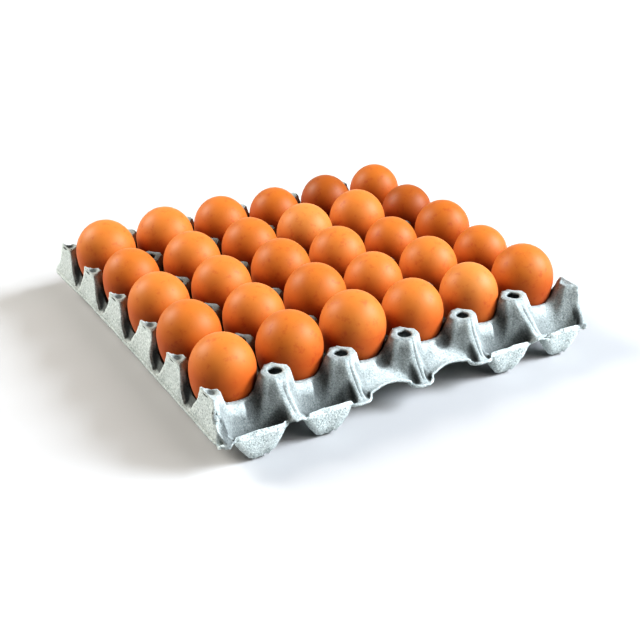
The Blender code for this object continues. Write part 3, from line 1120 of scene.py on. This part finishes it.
@dataclass
class Studio:
    """A plain pale floor, soft light from both sides and the camera.

    The surround is white low down and dims to a share of that at a height
    of dim_z of the way to the zenith.
    """

    floor_half: float = 2.4
    floor_colour: str = "a6a6a6"
    floor_roughness: float = 0.9
    dim_z: float = 0.16
    dim_share: float = 0.080
    azimuth: float = -31.08
    elevation: float = 29.0
    distance: float = 0.8647
    target: Triple = (0.0072, -0.0027, -0.0020)
    lens: float = 63.8
    sensor: float = 36.0

    def build(self) -> None:
        """Set the floor, the lights, the world and the camera."""
        scene = bpy.context.scene
        mesh = bmesh.new()
        bmesh.ops.create_grid(mesh, x_segments=1, y_segments=1, size=self.floor_half)
        data = bpy.data.meshes.new("floor")
        mesh.to_mesh(data)
        mesh.free()
        floor = bpy.data.objects.new("floor", data)
        scene.collection.objects.link(floor)
        # Uncoated backdrop paper: matt, so that the floor shows no highlight.
        paper = bpy.data.materials.new("matt backdrop paper")
        paper.use_nodes = True
        shader = paper.node_tree.nodes["Principled BSDF"]
        shader.inputs["Base Color"].default_value = linear(self.floor_colour)
        shader.inputs["Roughness"].default_value = self.floor_roughness
        data.materials.append(paper)
        self.light("right softbox", (2.18, -1.24, 1.65), 1.2, 226.0, "edf5ff")
        self.light("left softbox", (-1.58, 1.93, 1.72), 1.2, 150.0, "fffaf2")
        self.light("front softbox", (1.00, -1.90, 1.80), 1.6, 42.0, "ffffff")
        self.world()
        scene.view_settings.view_transform = "Standard"
        scene.view_settings.look = "Medium High Contrast"
        self.camera()

    def world(self) -> None:
        """Set a white surround that gives little light from above."""
        world = bpy.data.worlds.new("studio")
        world.use_nodes = True
        tree = world.node_tree
        sky = tree.nodes["Background"]
        direction = add_node(tree, "TexCoord").outputs["Generated"]
        height = add_node(tree, "SeparateXYZ", inputs={"Vector": direction}).outputs["Z"]
        dim = add_node(tree, "MapRange", SMOOTH, {"Value": height, "From Min": 0.0, "From Max": self.dim_z,
                                                  "To Min": 1.0, "To Max": self.dim_share})
        seen = add_node(tree, "LightPath").outputs["Is Camera Ray"]
        strength = add_node(tree, "Math", {"operation": "MAXIMUM"}, {"0": dim.outputs["Result"], "1": seen})
        tree.links.new(strength.outputs["Value"], sky.inputs["Strength"])
        sky.inputs["Color"].default_value = linear("ffffff")
        bpy.context.scene.world = world

    def light(self, name: str, place: Triple, size: float, power: float, tint: str) -> None:
        """Add one square softbox that faces the tray.

        Args:
            name: the light's name.
            place: where it hangs.
            size: the length of its side.
            power: its power in watts.
            tint: its colour as an sRGB hex.
        """
        data = bpy.data.lights.new(name, "AREA")
        data.size = size
        data.energy = power
        data.color = linear(tint)[:3]
        lamp = bpy.data.objects.new(name, data)
        lamp.location = place
        lamp.rotation_euler = (-Vector(place)).to_track_quat("-Z", "Y").to_euler()
        bpy.context.scene.collection.objects.link(lamp)

    def camera(self) -> None:
        """Set the camera at its distance from the target, looking at it."""
        around, up = math.radians(self.azimuth), math.radians(self.elevation)
        back = Vector((math.sin(around) * math.cos(up), -math.cos(around) * math.cos(up), math.sin(up)))
        data = bpy.data.cameras.new("camera")
        data.lens = self.lens
        data.sensor_width = self.sensor
        camera = bpy.data.objects.new("camera", data)
        camera.location = Vector(self.target) + back * self.distance
        camera.rotation_euler = (-back).to_track_quat("-Z", "Y").to_euler()
        bpy.context.scene.collection.objects.link(camera)
        bpy.context.scene.camera = camera


# The shells' tones: row 1 first, a letter for each egg along X.
TONES: tuple[str, ...] = ("wrwwpr", "rwrwwr", "wwrwrd", "rwrpwk", "wwrdkd")
TONE_OF = {"p": EggTone.PALE, "w": EggTone.WARM, "r": EggTone.RICH, "d": EggTone.DEEP, "k": EggTone.DARK}


def main() -> None:
    """Build the stage, the tray and the eggs."""
    logging.basicConfig(level=logging.INFO, format="%(name)s: %(message)s")
    Studio().build()
    tray = PulpTray()
    tray.build(MouldedPulp().material())
    shells = {tone: Eggshell(tone).material() for tone in EggTone}
    for row, tones in enumerate(TONES, 1):
        for column, letter in enumerate(tones, 1):
            tone = TONE_OF[letter]
            Egg(f"egg_r{row}c{column}", tone).build(shells[tone])


if __name__ == "__main__":
    main()
